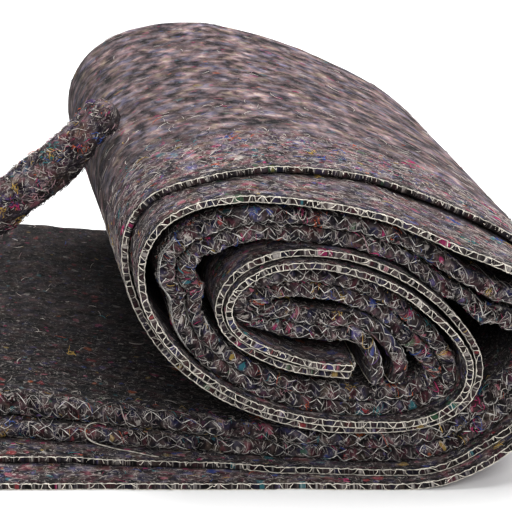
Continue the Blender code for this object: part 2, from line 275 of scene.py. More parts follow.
def ply_heights(gaps, swing, dip):
    """How far each ply's middle is from the strip's outer face; the swing grows towards the inside."""
    heights = [HALF + dip]
    for gap, share in zip(gaps, RIPPLE_SHARES):
        heights.append(heights[-1] + FELT + gap + swing * share)
    return heights


# ---- the sheet's mesh

# The middle line across the strip: each point's place, its way out of the right face, and how far
# across the sheet it is.
Across = namedtuple("Across", "depth height out_depth out_height width")
# Its points: along the plies, which are numbered from the outermost in, and round the folds. Then,
# counted from edge 1, the noses of the front folds and the two edges.
PLY_1, PLY_2, PLY_6, INNER_PLY = 16, 12, 14, 8
FRONT_ARC, BACK_ARC = 10, 5
CROWDING = 1.7
FOLD_56_NOSE = PLY_1 + FRONT_ARC + PLY_6 + FRONT_ARC // 2 - 2
FOLD_34_NOSE = FOLD_56_NOSE + FRONT_ARC + 2 * INNER_PLY + BACK_ARC - 2
EDGE_1, EDGE_2 = 0, -1


def run_points(first, last, count):
    """Places from 0 to 1 along a ply between its two ends, closer together near its front end."""
    share = np.linspace(0, 1, count) ** CROWDING
    return share if first < last else 1 - share[::-1]


def sheet_section(front, back, edges, folds):
    """The folded sheet's middle line across the strip, from edge 1 to edge 2, with its normals."""
    rows = []

    def ply(low, near, high, far, side, count):
        for t in run_points(near, far, count):
            height = low + (high - low) * (0.5 * t + 0.5 * smooth_step(t))
            rows.append((near + (far - near) * t, height, 0.0, -side))

    def fold(depth, low, high, start, turn, count):
        centre, radius = (low + high) / 2, (high - low) / 2
        outward = 1 if turn > 0 else -1
        for i in range(1, count):
            angle = start + turn * i / count
            out = np.array([math.cos(angle), math.sin(angle)])
            rows.append((depth + radius * out[0], centre + radius * out[1], *(outward * out)))

    down, up, half_turn = -math.pi / 2, math.pi / 2, math.pi
    wrap_radius = (back[5] - back[0]) / 2
    wrap_depth = folds[0] + PANEL - wrap_radius
    inner_depth = wrap_depth - FOLD_CLEARANCE
    radius_56 = (front[5] - front[4]) / 2
    radius_34 = (front[3] - front[2]) / 2
    front_34, front_56 = folds[0] + radius_34, folds[1] + radius_56
    ply(front[0], edges[0], back[0], wrap_depth, 1, PLY_1)
    fold(wrap_depth, back[0], back[5], down, half_turn, FRONT_ARC)
    ply(back[5], wrap_depth, front[5], front_56, -1, PLY_6)
    for k, nose, last, count in ((4, front_56, front_34, INNER_PLY), (2, front_34, edges[1], PLY_2)):
        fold(nose, front[k], front[k + 1], up, half_turn, FRONT_ARC)
        ply(front[k], nose, back[k], inner_depth, 1, INNER_PLY)
        fold(inner_depth, back[k - 1], back[k], up, -half_turn, BACK_ARC)
        ply(back[k - 1], inner_depth, front[k - 1], last, -1, count)
    table = np.array(rows)
    width = lengths(table[:, :2])
    return Across(*table.T, width * BLANKET_WIDTH / width[-1])


def placed(depth, height, foot, heading, leaning):
    """Points of a section stood up on the strip's path, with the roll's lean, narrowing and rise."""
    x = foot[0] - math.sin(heading) * height
    z = foot[1] + math.cos(heading) * height
    rise = BACK_RISE * np.maximum(0, 1 - ((x - RISE_MIDDLE) / RISE_REACH) ** 2)
    back = leaning * depth / PANEL
    x = x * (1 - back * BACK_NARROWING) - leaning * LEAN * depth
    return np.stack([x, depth, z * (1 + back * rise)], axis=-1)


def loosened(along, plan):
    """The plan with the small unevenness of real cloth: the plies wander within their gaps."""
    plan = plan.copy()
    for k in range(PLIES - 1):
        free = np.maximum(plan[:, k] - LEAST_GAP, 0)
        plan[:, k] = LEAST_GAP + free * (1 + UNEVEN * wander("gap%d" % k, along, 60 * MM))
    for k, (reach, stretch) in enumerate(SET_BACKS):
        moved = plan[:, PLIES + k] + reach * MM * wander("set back %d" % k, along, stretch * MM)
        plan[:, PLIES + k] = np.maximum(moved, 0)
    return plan


def between(grid, k, i, u, v):
    """A grid at shares u and v of the way from row k and column i to the next ones."""
    low = grid[k, i] * (1 - v) + grid[k, i + 1] * v
    high = grid[k + 1, i] * (1 - v) + grid[k + 1, i + 1] * v
    return low * (1 - u) + high * u


def strip_stations():
    """The stations along the strip: distance, foot, heading, lean, and the fold plan at each."""
    along, line, heading, plan = whole_strip()
    plan = loosened(along, plan)
    turns_at = along[-1] - END_RADIUS * END_TURN
    at = np.linspace(along[0], turns_at, round((turns_at - along[0]) / STATION_STEP) + 1)
    at = np.concatenate([at, np.linspace(turns_at, along[-1], END_STATIONS + 1)[1:]])
    feet = read_columns(at, along, line)
    leaning = smooth_step((feet[:, 0] - LEAN_FROM) / (LEAN_TO - LEAN_FROM))
    leaning[at > 0] = 1
    return at, feet, np.interp(at, along, heading), leaning, read_columns(at, along, plan)


class Strip:
    """The whole sheet as grids over (station, point across): its middle surface and its normals."""

    def __init__(self, shift):
        self.at, feet, headings, leaning, plan = strip_stations()
        middle, ahead, width = [], [], []
        for k, distance in enumerate(self.at):
            gaps, ripple, edges, folds, dip = np.split(plan[k], (5, 6, 8, 10))
            swing = ripple[0] * math.sin(2 * math.pi * distance / RIPPLE_LENGTH)
            front = ply_heights(gaps, swing, dip[0])
            back = ply_heights(gaps * BACK_LOOSENESS + (1 - BACK_LOOSENESS) * LEAST_GAP, 0, 0)
            across = sheet_section(front, back, edges, folds)
            spot = (feet[k], headings[k], leaning[k])
            middle.append(placed(across.depth, across.height, *spot))
            out_depth = across.depth + across.out_depth * HALF
            out_height = across.height + across.out_height * HALF
            ahead.append(placed(out_depth, out_height, *spot))
            width.append(across.width)
        self.middle = np.array(middle) + shift
        self.outward = unit(np.array(ahead) + shift - self.middle)
        # The place across, counted so that the noses of the front folds are at 500 and 1000 mm.
        marks = np.array([0, 500, 1000, 1500]) * MM
        noses = [0, FOLD_56_NOSE, FOLD_34_NOSE, -1]
        self.width = np.array([np.interp(row, row[noses], marks) for row in width])
        # The cloth's own place along it: the distance on the strip, and past the start of the inner
        # end's arc, where the plies fan out, the length of each line of the mesh.
        fanned = self.at[1:, None] > self.at[-1 - END_STATIONS]
        steps = np.linalg.norm(np.diff(self.middle, axis=0), axis=-1)
        steps = np.where(fanned, steps, np.diff(self.at)[:, None])
        self.along = np.pad(np.cumsum(steps, axis=0), ((1, 0), (0, 0))) + self.at[0]

    def read(self, grid, station, across):
        """A grid read between its stations and points, at fractional places."""
        k = np.clip(np.floor(station).astype(int), 0, grid.shape[0] - 2)
        i = np.clip(np.floor(across).astype(int), 0, grid.shape[1] - 2)
        return between(grid, k, i, (station - k)[..., None], (across - i)[..., None])

    def station_of(self, along):
        return np.interp(along, self.at, np.arange(len(self.at)))

    def point_across(self, along, width):
        """Where places lie between the points across, from their distances along and across."""
        rows = self.station_of(along).astype(int)
        points = np.arange(self.width.shape[1])
        found = np.empty_like(width)
        for k in np.unique(rows):
            found[rows == k] = np.interp(width[rows == k], self.width[k], points)
        return found


def relief(name, strip, height, cell):
    """Smooth random lumps up to a height over the cloth, one about every cell."""
    random = generator(name)
    u, v = strip.along / cell, strip.width / cell
    u = u - u.min()
    grid = random.uniform(-1, 1, (int(u.max()) + 3, int(v.max()) + 3))
    k, i = u.astype(int), v.astype(int)
    return height * between(grid, k, i, smooth_step(u - k), smooth_step(v - i))


def unit(vectors):
    return vectors / np.maximum(np.linalg.norm(vectors, axis=-1, keepdims=True), 1e-12)


def new_object(name, data):
    item = bpy.data.objects.new(name, data)
    bpy.context.collection.objects.link(item)
    return item


def mesh_object(name, points, faces, layer, uvs):
    """A smooth mesh object. faces: arrays of rings of points; uvs: a UV place for each point."""
    mesh = bpy.data.meshes.new(name)
    sizes = np.concatenate([np.full(len(part), part.shape[1]) for part in faces])
    corners = np.concatenate([part.ravel() for part in faces]).astype(np.int32)
    mesh.vertices.add(len(points))
    mesh.vertices.foreach_set("co", points.astype(np.float32).ravel())
    mesh.loops.add(len(corners))
    mesh.loops.foreach_set("vertex_index", corners)
    mesh.polygons.add(len(sizes))
    starts = np.concatenate([[0], np.cumsum(sizes)[:-1]]).astype(np.int32)
    mesh.polygons.foreach_set("loop_start", starts)
    mesh.uv_layers.new(name=layer).data.foreach_set("uv", uvs[corners].astype(np.float32).ravel())
    mesh.update(calc_edges=True)
    mesh.validate()
    mesh.shade_smooth()
    return new_object(name, mesh)


def ring_quads(rows, around):
    """The faces between neighbouring rings of points."""
    k, i = np.meshgrid(np.arange(rows - 1), np.arange(around), indexing="ij")
    j = (i + 1) % around
    quads = [k * around + i, k * around + j, (k + 1) * around + j, (k + 1) * around + i]
    return np.stack(quads, axis=-1).reshape(-1, 4)


def nose_directions(strip, end):
    """The way out of the cloth at one of its long edges, at every station."""
    inner = 1 if end == EDGE_1 else -2
    return unit(strip.middle[:, end] - strip.middle[:, inner])


# The points that round each edge off, as angles from the right face's side to the left one's.
CAP_ANGLES = [math.radians(angle) for angle in (54, 18, -18, -54)]
# The felt's lumps: how high they are, and how far apart.
COARSE_LUMPS = (0.16 * MM, 12 * MM)
FINE_LUMPS = (0.13 * MM, 5 * MM)


def face_heights(strip, name):
    """How far one face of the sheet is from its middle."""
    lumps = HALF + relief(name, strip, *COARSE_LUMPS) + relief(name + " fine", strip, *FINE_LUMPS)
    return lumps[:, :, None]


def edge_cap(strip, end):
    """The points that round off one long edge."""
    tip, out = nose_directions(strip, end), strip.outward[:, end]
    rounded = [HALF * (math.cos(a) * tip + math.sin(a) * out) for a in CAP_ANGLES]
    return strip.middle[:, end][:, None] + np.stack(rounded, axis=1)


def round_the_sheet(right, cap_2, left, cap_1):
    """Rings round the sheet: its right face, edge 2, its left face, edge 1."""
    return np.concatenate([right, cap_2, left[:, ::-1], cap_1[:, ::-1]], axis=1)


def blanket_mesh(strip):
    """The closed skin of the sheet: both faces and the two rounded edges, and flat ends."""
    right = strip.middle + strip.outward * face_heights(strip, "right face")
    left = strip.middle - strip.outward * face_heights(strip, "left face")
    points = round_the_sheet(right, edge_cap(strip, EDGE_2), left, edge_cap(strip, EDGE_1))
    count, ring = points.shape[:2]
    caps = len(CAP_ANGLES)
    across = strip.width.shape[1]
    i = np.arange(across - 1)
    far = ring - caps - 1 - i
    ends = np.stack([i, i + 1, far - 1, far], axis=-1)
    hexagons = (np.array([[across - 1], [ring - caps - 1]]) + np.arange(caps + 2)) % ring
    last = (count - 1) * ring
    faces = [ring_quads(count, ring)]
    faces += [ends[:, ::-1], last + ends, hexagons[:, ::-1], last + hexagons]
    uv = np.stack([
        round_the_sheet(grid, grid[:, [EDGE_2] * caps], grid, grid[:, [EDGE_1] * caps])
        for grid in (strip.along, strip.width)
    ], axis=-1)
    return mesh_object("felt_sheet", points.reshape(-1, 3), faces, "cloth", uv.reshape(-1, 2))


class Tubes:
    """Many thin closed threads gathered into one mesh."""

    def __init__(self, sides):
        self.sides = sides
        self.points, self.quads, self.caps, self.uvs, self.count = [], [], [], [], 0

    def add(self, line, normals, radius, tint):
        """One thread: points of its line, directions out of the cloth, radius and tint."""
        radii = np.broadcast_to(radius, (1, len(line)))
        self.add_many(line[None], normals[None], radii, np.array([tint]))

    def add_many(self, lines, normals, radii, tints):
        """Threads with the same number of points each, as arrays over (thread, point)."""
        threads, rows = lines.shape[:2]
        tangent = unit(np.gradient(lines, axis=1))
        side = unit(np.cross(tangent, normals))
        up = np.cross(side, tangent)
        turn = 2 * math.pi * np.arange(self.sides) / self.sides
        around = np.cos(turn)[:, None] * side[:, :, None] + np.sin(turn)[:, None] * up[:, :, None]
        points = lines[:, :, None] + radii[:, :, None, None] * around
        base = self.count + np.arange(threads)[:, None, None] * rows * self.sides
        ring = np.arange(self.sides)[None]
        far = (rows - 1) * self.sides + ring
        self.quads.append((base + ring_quads(rows, self.sides)).reshape(-1, 4))
        self.caps.append((base + np.stack([ring[:, ::-1], far], axis=1)).reshape(-1, self.sides))
        self.points.append(points.reshape(-1, 3))
        self.uvs.append(np.repeat(tints, rows * self.sides)[:, None].repeat(2, axis=1))
        self.count += threads * rows * self.sides

    def finish(self, name):
        faces = [np.concatenate(self.quads), np.concatenate(self.caps)]
        uvs = np.concatenate(self.uvs)
        return mesh_object(name, np.concatenate(self.points), faces, "tint", uvs)


# ---- stitching

THREAD = 0.145 * MM
RAIL = 0.16 * MM
RAIL_ANGLE = math.radians(60)
# How an edge's overlock looks from a place along the strip on: (place, pitch, the share of the pitch
# that a crossing thread slants over, small for upright bars and 1 for a zigzag).
OVERLOCK_1 = ((-600, 4.9, 0.45), (60, 4.4, 0.35), (110, 2.5, 0.15), (330, 3.2, 0.25), (400, 4.0, 0.5))
OVERLOCK_2 = ((-600, 4.6, 0.5), (110, 2.8, 0.95), (300, 3.2, 0.7), (420, 3.4, 0.55))
OVERLOCK_END = ((0, 4.4, 0.4),)
# Where one rail sinks into the felt: the rail on the right face (1) or the left one (-1), from, to.
Sunk = namedtuple("Sunk", "sign start stop", defaults=(0, 0))
SUNK_OVER = 30 * MM
# The overlock of the two long edges and of the two short ends: its rails' step, how proud of the felt
# it lies, and the sides of its threads.
Seam = namedtuple("Seam", "name plan sunk step proud sides", defaults=(0.9 * MM, 0.0, 5))
SEAMS = (
    Seam("overlock_1", OVERLOCK_1, Sunk(-1, 70, 340)),
    Seam("overlock_2", OVERLOCK_2, Sunk(-1, -700, -30)),
    Seam("overlock_3", OVERLOCK_END, Sunk(1), 3 * MM, 0.5 * MM, 3),
    Seam("overlock_4", OVERLOCK_END, Sunk(1), 3 * MM, 0.2 * MM, 3),
)
END_MARGIN = 1 * MM
LAST_LOOP = 6 * MM
SHORT_END_INSET = 0.9 * HALF


class Border:
    """One edge of the sheet as a line, with the ways out of its right face and past its edge."""

    def __init__(self, line, out, past, at=None, inset=0.0):
        self.at = lengths(line) if at is None else at
        self.out = unit(out)
        across = unit(np.cross(np.gradient(line, axis=0), self.out))
        middle = len(line) // 2
        self.past = across * np.sign(across[middle] @ past[middle])
        self.line = line - inset * self.past

    def spot(self, at, angle, reach):
        """Places round the edge, from its right face at 90 degrees to its left face at -90."""
        line, out, past = (read_columns(at, self.at, grid) for grid in (self.line, self.out, self.past))
        normal = unit(np.cos(angle)[:, None] * past + np.sin(angle)[:, None] * out)
        return line + normal * (HALF + reach)[:, None], normal


def borders(strip):
    """The two long edges and the two short ends."""
    found = []
    for end in (EDGE_1, EDGE_2):
        past = nose_directions(strip, end)
        found.append(Border(strip.middle[:, end], strip.outward[:, end], past, strip.along[:, end]))
    for end, inner in ((0, 1), (-1, -2)):
        past = strip.middle[end] - strip.middle[inner]
        found.append(Border(strip.middle[end], strip.outward[end], past, inset=SHORT_END_INSET))
    return found


def sunk_share(at, sunk):
    """How far sunk, from 0 to 1, the rail is at places along its edge."""
    past_start, before_stop = at - sunk.start * MM, sunk.stop * MM - at
    return smooth_step(past_start / SUNK_OVER) * smooth_step(before_stop / SUNK_OVER)


def add_rail(tubes, border, seam, at, sign):
    """The thread that runs along one face beside the edge."""
    angle = sign * RAIL_ANGLE + 0.22 * wander("%s rail %d" % (seam.name, sign), at, 4 * MM)
    lift = 0.10 + 0.14 * wander("%s lift %d" % (seam.name, sign), at, 3.5 * MM)
    lift = seam.proud + lift * MM
    if sign == seam.sunk.sign:
        lift = lift - 1.0 * MM * sunk_share(at, seam.sunk)
    line, normal = border.spot(at, angle, lift)
    tubes.add(line, normal, RAIL * (1 + 0.3 * wander(seam.name + " girth", at, 3 * MM)), 0.1)


def loop_places(random, plan, start, stop):
    """The crossing thread's points in order along the edge: (distances along, angles round)."""
    spots, angles, here, sign = [], [], start, 1
    while here < stop - LAST_LOOP:
        _, pitch, slant = [row for row in plan if row[0] * MM <= here][-1]
        pitch = pitch * MM * random.uniform(0.65, 1.35)
        slant = pitch * slant * random.uniform(0.2, 1.6)
        bow = pitch * random.normal(0, 0.13)
        for t in (0, 0.25, 0.5, 0.75, 1):
            spots.append(here + slant * t + bow * math.sin(math.pi * t))
            angles.append(sign * RAIL_ANGLE * 1.06 * (1 - 2 * t) + random.normal(0, 0.09))
        here += pitch
        spots.append(here - (pitch - min(slant, 0.9 * pitch)) * 0.4)
        angles.append(-sign * RAIL_ANGLE * random.uniform(0.9, 1.1))
        sign = -sign
    order = np.argsort(np.array(spots), kind="stable")
    return np.array(spots)[order], np.array(angles)[order]


def overlock(border, seam):
    """The thread over one edge: two rails and the looped thread that crosses between them."""
    tubes = Tubes(seam.sides)
    start, stop = border.at[0] + END_MARGIN, border.at[-1] - END_MARGIN
    for sign in (1, -1):
        add_rail(tubes, border, seam, np.arange(start, stop, seam.step), sign)
    spots, angles = loop_places(generator(seam.name), seam.plan, start, stop)
    # Where a rail is sunk, the loops' points beyond it sink too and turn back over the edge.
    sunk = seam.sunk
    share = sunk_share(spots, sunk)
    low = sunk.sign * angles > RAIL_ANGLE * (1.2 - share)
    angles = np.where(low, sunk.sign * RAIL_ANGLE * 0.2, angles)
    lift = seam.proud + (0.18 + 0.12 * wander(seam.name + " loop lift", spots, 4 * MM)) * MM
    line, normal = border.spot(spots, angles, lift - 0.9 * MM * share * low)
    girth = 1 + 0.25 * wander(seam.name + " loop girth", spots, 5 * MM)
    tubes.add(line, normal, THREAD * girth, 0.05)
    return tubes.finish(seam.name)


def on_cloth(strip, along, across, lift, face=1):
    """Points at a lift over one face of the sheet, and the directions out of it."""
    station = strip.station_of(along)
    normal = unit(strip.read(strip.outward, station, across)) * face
    return strip.read(strip.middle, station, across) + normal * (HALF + lift)[..., None], normal


# The rows of zigzag stitching over each front fold: how far round from its nose, in points of the
# section, half its width there, its period at the roll, and the share of its legs that shows.
Row = namedtuple("Row", "offset reach period shows")
ROWS = (
    Row(-2.6, 1.6, 5.6, 0.80), Row(1.6, 1.6, 5.9, 0.85),
    Row(-5.4, 0.9, 6.3, 0.45), Row(4.9, 1.3, 6.2, 0.6),
)
# On the flat part the stitches are longer by this much, from and over these distances on.
FLAT_STRETCH = 0.25
STRETCHED_FROM, STRETCHED_OVER = 40 * MM, 60 * MM
# The places of a leg's points from one end to the other, and how far it rises at each.
LEG = np.array([0, 0.3, 0.7, 1.0])
LEG_ARCH = np.sin(math.pi * LEG)


def zigzag_legs(strip, nose, row, name):
    """One row of zigzags over a fold as separate legs, each arched over the felt and sunk at its ends."""
    random = generator(name)
    path = strip.at[0] + lengths(strip.middle[:, nose])
    steps = []
    here = path[0] + 2 * MM
    while here < path[-1] - 2 * MM:
        stretch = 1 + FLAT_STRETCH * smooth_step((STRETCHED_FROM - here) / STRETCHED_OVER)
        steps.append(here)
        here += row.period * MM / 2 * stretch * random.uniform(0.75, 1.25)
    ends = np.interp(steps, path, strip.at)
    legs = len(ends) - 1
    sign = np.where(np.arange(len(ends)) % 2, 1.0, -1.0) * random.uniform(0.55, 1.3, len(ends))
    drift = 0.35 * wander(name + " drift", ends, 17 * MM)
    shows = row.shows * (1 + 0.4 * wander(name + " sunk", ends[:-1], 25 * MM))
    keep = random.random(legs) < shows
    bow = random.normal(0, 0.55, legs)[:, None] * LEG_ARCH
    stray = np.interp(steps[:-1], path, np.gradient(strip.at, path))[:, None] * 0.4 * MM * bow
    along = ends[:-1, None] + (ends[1:] - ends[:-1])[:, None] * LEG + stray
    side = (sign[:-1, None] * (1 - LEG) + sign[1:, None] * LEG) * row.reach + 0.3 * bow
    across = nose + row.offset + drift[:-1, None] + side
    lift = (-0.05 + random.uniform(0.05, 0.5, legs)[:, None] * LEG_ARCH) * MM
    radii = THREAD * random.uniform(0.6, 1.15, (legs, 1)) * np.array([0.8, 1, 1, 0.8])
    tint = random.choice((0.0, 0.1, 0.3, 0.5, 0.7), legs)
    return *on_cloth(strip, along[keep], across[keep], lift[keep]), radii[keep], tint[keep]


def stitch_rows(strip):
    tubes = Tubes(4)
    for fold, nose in ((34, FOLD_34_NOSE), (56, FOLD_56_NOSE)):
        for n, row in enumerate(ROWS):
            tubes.add_many(*zigzag_legs(strip, nose, row, "row %d %d" % (fold, n)))
    shoulder_chain(strip, tubes)
    return tubes.finish("stitch_rows")


# A short chain of looped thread that shows on the shoulder of the fold of plies 3 and 4, at the
# left of the roll's outer turn: where along the strip, in millimetres, and its rails' points across.
CHAIN_FROM, CHAIN_TO = 312, 384
CHAIN_RAILS = (75.2, 77.0)
CHAIN_PITCH = 2.9 * MM


def shoulder_chain(strip, tubes):
    for n, rail in enumerate(CHAIN_RAILS):
        along = np.arange(CHAIN_FROM, CHAIN_TO, 1.0) * MM
        across = rail + 0.12 * wander("chain rail %d" % n, along, 5 * MM)
        tubes.add(*on_cloth(strip, along, across, 0.1 * MM * np.ones(len(along))), RAIL, 0.2)
    spots = np.arange(CHAIN_FROM, CHAIN_TO - 2, 0.55) * MM
    waver = generator("chain").normal(0, 0.2, len(spots))
    share = 0.5 - 0.5 * np.cos(2 * math.pi * spots / CHAIN_PITCH + waver)
    across = CHAIN_RAILS[0] + (CHAIN_RAILS[1] - CHAIN_RAILS[0]) * share
    tubes.add(*on_cloth(strip, spots, across, 0.22 * MM * np.ones(len(spots))), THREAD, 0.3)


# A thread that hangs loose from the flat part's fold on to the ply below, in the strip's axes.
LOOSE_THREAD = (
    (-93.5, 33.5, 12.0), (-96.2, 35.4, 12.2), (-98.8, 34.8, 12.2), (-100.8, 31.6, 12.0),
    (-101.2, 29.0, 10.9), (-100.3, 28.0, 9.0), (-97.6, 27.8, 7.0), (-93.6, 26.8, 6.1),
    (-88.4, 24.0, 5.9), (-83.0, 22.2, 5.7), (-78.0, 19.8, 5.5), (-72.6, 18.0, 5.3),
)
LOOSE_THREAD_POINTS = 60


def loose_thread(shift):
    tubes = Tubes(6)
    route = np.array(LOOSE_THREAD) * MM + shift
    knots = lengths(route)
    line = spline(knots, route)(np.linspace(0, knots[-1], LOOSE_THREAD_POINTS))
    tubes.add(line, np.tile([0.0, -0.3, 0.95], (len(line), 1)), 0.22 * MM, 0.3)
    return tubes.finish("loose_thread")


# ---- loose fibres

# Where loose fibres lie: a stretch of the strip and a band of the sheet, in millimetres, its face,
# their length, how far they stray from the strip's own direction, how high they arch, their radius,
# how much they curl, the points of each, and the share of the coloured ones that is kept.
Fibres = namedtuple(
    "Fibres", "name count start stop width_from width_to face length spread lift radius curl points dyed",
    defaults=(1.3, 4, 1.0),
)


def over_folds(name, count, start, stop, reach, *rest):
    """The same fibres over both front folds, whose noses are at 500 and 1000 mm across the sheet."""
    return [
        Fibres(name % fold, count, start, stop, nose - reach, nose + reach, 1, *rest)
        for fold, nose in ((56, 500), (34, 1000))
    ]


ROLL_FIBRES = (
    Fibres("roll top front", 2000, 110, 380, 4, 44, 1, 3.6, 1.2, 0.5, 0.11, dyed=0.6),
    Fibres("roll top near front", 450, 110, 380, 30, 90, 1, 5.0, 1.3, 0.3, 0.13, dyed=0.6),
    Fibres("roll top", 160, 60, 400, 90, 236, 1, 7.0, 1.3, 0.4, 0.14, dyed=0.6),
    Fibres("band behind edge 2", 1800, 130, 380, 1460, 1499, -1, 4, 0.9, 0.4, 0.10, dyed=0.35),
    Fibres("band over edge 2", 700, 130, 703, 1478, 1499, 1, 3.4, 0.9, 0.4, 0.09, dyed=0.35),
)
FOLD_FIBRES = (
    *over_folds("fold %d", 3700, -250, 708, 10, 2.6, 1.5, 0.9, 0.085, 1.5, 3),
    *over_folds("fold %d loops", 130, -250, 708, 7, 6.5, 1.5, 0.9, 0.15, 4.6, 9),
)
FLAT_FIBRES = (
    Fibres("flat top", 500, -590, -20, 262, 494, 1, 5, 1.0, 0.3, 0.12),
    Fibres("flat under edge 2", 1000, -590, 60, 1476, 1499, -1, 3.4, 1.0, 0.5, 0.09),
    Fibres("flat over edge 2", 600, -590, 60, 1476, 1499, 1, 3.4, 1.0, 0.5, 0.09),
    Fibres("flat over edge 1", 1000, -590, 60, 1, 24, -1, 3.4, 1.0, 0.5, 0.09),
    *over_folds("flat fold %d near", 150, -150, -10, 8, 2.6, 1.5, 0.9, 0.085),
    *over_folds("flat fold %d", 900, -590, -250, 9, 3.4, 1.4, 0.8, 0.09),
)
# The share of the fibres that lie single, the fibres in a tuft, and the tints that are coloured.
SINGLE_SHARE = 0.8
TUFT = 12
COLOURED_FROM = 0.78
EDGE_MARGIN = 0.3 * MM


def fibre_arch(t):
    """How high a fibre stands along it; its ends don't quite touch the felt."""
    return np.sin(math.pi * np.clip(t, 0.08, 0.92))


def curls(strip, random, plan, along, width, tints):
    """Short curled fibres that start at the places given: (lines, normals, radii, tints)."""
    count = len(along)
    t = np.linspace(0, 1, plan.points)
    length = plan.length * MM * random.uniform(0.4, 1.6, count)
    turns = random.normal(0, plan.spread, count)[:, None]
    turns = turns + random.normal(0, plan.curl, count)[:, None] * (t - 0.5)
    # Where the plies fan out round the inner end, a step along the strip is longer on the cloth.
    stretch = np.gradient(strip.along, strip.at, axis=0)
    spots = strip.station_of(along).astype(int), strip.point_across(along, width).astype(int)
    step = length[:, None] / (plan.points - 1)
    step_along = step / np.maximum(stretch[spots], 1)[:, None]
    s = along[:, None] + np.cumsum(step_along * np.cos(turns), axis=1)
    w = width[:, None] + np.cumsum(step * np.sin(turns), axis=1)
    fits = (s.min(axis=1) > strip.at[0]) & (s.max(axis=1) < strip.at[-1])
    fits &= (w.min(axis=1) > EDGE_MARGIN) & (w.max(axis=1) < BLANKET_WIDTH - EDGE_MARGIN)
    s, w, tints = s[fits], w[fits], tints[fits]
    across = strip.point_across(s[:, 0], w)
    high = random.uniform(-0.15, 1, len(s))[:, None]
    lift = plan.lift * MM * (random.uniform(-0.1, 0.2, len(s))[:, None] + high * fibre_arch(t))
    lines, normals = on_cloth(strip, s, across, lift, plan.face)
    thick = plan.radius * MM * random.uniform(0.6, 1.3, len(s))[:, None]
    return lines, normals, thick * (0.5 + 0.5 * np.sin(math.pi * t)), tints


def scattered(random, plan, count, each=1):
    """Places all over a plan's band, each given so many times: (distances along, across)."""
    bands = (plan.start, plan.stop), (plan.width_from, plan.width_to)
    return [random.uniform(*band, count).repeat(each) * MM for band in bands]


def fibre_piece(strip, plans, name):
    """A piece of loose fibres: single ones all over each band, and small tufts of one colour."""
    tubes = Tubes(3)
    for plan in plans:
        random = generator(plan.name)
        single = int(plan.count * SINGLE_SHARE)
        along, width = scattered(random, plan, single)
        tints = random.random(single) ** 1.3
        plain = (tints > COLOURED_FROM) & (random.random(single) > plan.dyed)
        tints = np.where(plain, tints - 0.5, tints)
        tubes.add_many(*curls(strip, random, plan, along, width, tints))
        tufts = int(plan.dyed * (plan.count - single)) // TUFT
        along, width = scattered(random, plan, tufts, TUFT)
        along += random.normal(0, 0.8 * MM, tufts * TUFT)
        width += random.normal(0, 0.7 * MM, tufts * TUFT)
        colour = random.uniform(COLOURED_FROM, 1, tufts).repeat(TUFT)
        tuft = plan._replace(length=0.6 * plan.length, radius=1.5 * plan.radius, lift=0.5 * plan.lift)
        tubes.add_many(*curls(strip, random, tuft, along, width, colour))
    return tubes.finish(name)


# ---- the tie

# Its route's own points, in millimetres, in the strip's axes, from the roll's shoulder to its end.
TIE_DIAMETER = 18.0 * MM
TIE_ROUTE = (
    (-93.8, 118, 117.8), (-96.6, 118, 114.9), (-99.5, 118, 112), (-105.3, 118, 106),
    (-114.5, 118, 96.4), (-126.7, 118, 85.6), (-139.5, 118, 76.2), (-155, 118, 65.6),
    (-171, 118, 54.8), (-187, 119, 44.8), (-203, 121, 36.8), (-220, 125, 32),
    (-238, 132, 30.6), (-258, 142, 30.6), (-276, 154, 30.6),
)
TIE_AROUND = math.pi * TIE_DIAMETER
TIE_CAP = TIE_DIAMETER * 0.42
TWIST_PITCH = 70.0 * MM
TAPER = 50.0 * MM
# The points of its line, and of its skin along it, round it and over each rounded end.
TIE_LINE, TIE_STEPS, TIE_SIDES, TIE_CAP_STEPS = 260, 300, 64, 13
# Its zigzag stitching and its cover of fibres.
TIE_ROWS = 11
TIE_STITCH = 2.1 * MM
TIE_FIBRES = 5000
TIE_FIBRE = 0.15 * MM


class Tie:
    """The tie's skin: a twisted cord of felt round its route, with rounded ends."""

    def __init__(self, shift):
        route = np.array(TIE_ROUTE) * MM + shift
        knots = lengths(route)
        self.length = knots[-1]
        self.at = np.linspace(0, self.length, TIE_LINE)
        self.line = spline(knots, route)(self.at)
        tangent = unit(np.gradient(self.line, axis=0))
        self.side = unit(np.cross(tangent, (0.0, 0.0, 1.0)))
        self.up = np.cross(self.side, tangent)

    def spot(self, along, angle, lift=0.0):
        """The point of the skin at a distance along and an angle round, and its normal."""
        line, side, up = (read_columns(along, self.at, grid) for grid in (self.line, self.side, self.up))
        groove = np.abs(np.sin(angle + 2 * math.pi * along / TWIST_PITCH)) ** 0.6
        taper = 0.78 + 0.22 * smooth_step(along / TAPER)
        radius = TIE_DIAMETER / 2 * taper * (0.95 + 0.14 * groove)
        radius = radius + 0.30 * MM * np.sin(5 * angle + along / (7.0 * MM))
        radius = radius + 0.35 * MM * np.sin(3 * angle - along / (5.3 * MM))
        near_end = np.clip(np.minimum(along, self.length - along) / TIE_CAP, 0, 1)
        radius = radius * np.sqrt(np.clip(1 - (1 - near_end) ** 2, 0.0004, 1))
        normal = np.cos(angle)[..., None] * side + np.sin(angle)[..., None] * up
        return line + normal * (radius + lift)[..., None], normal


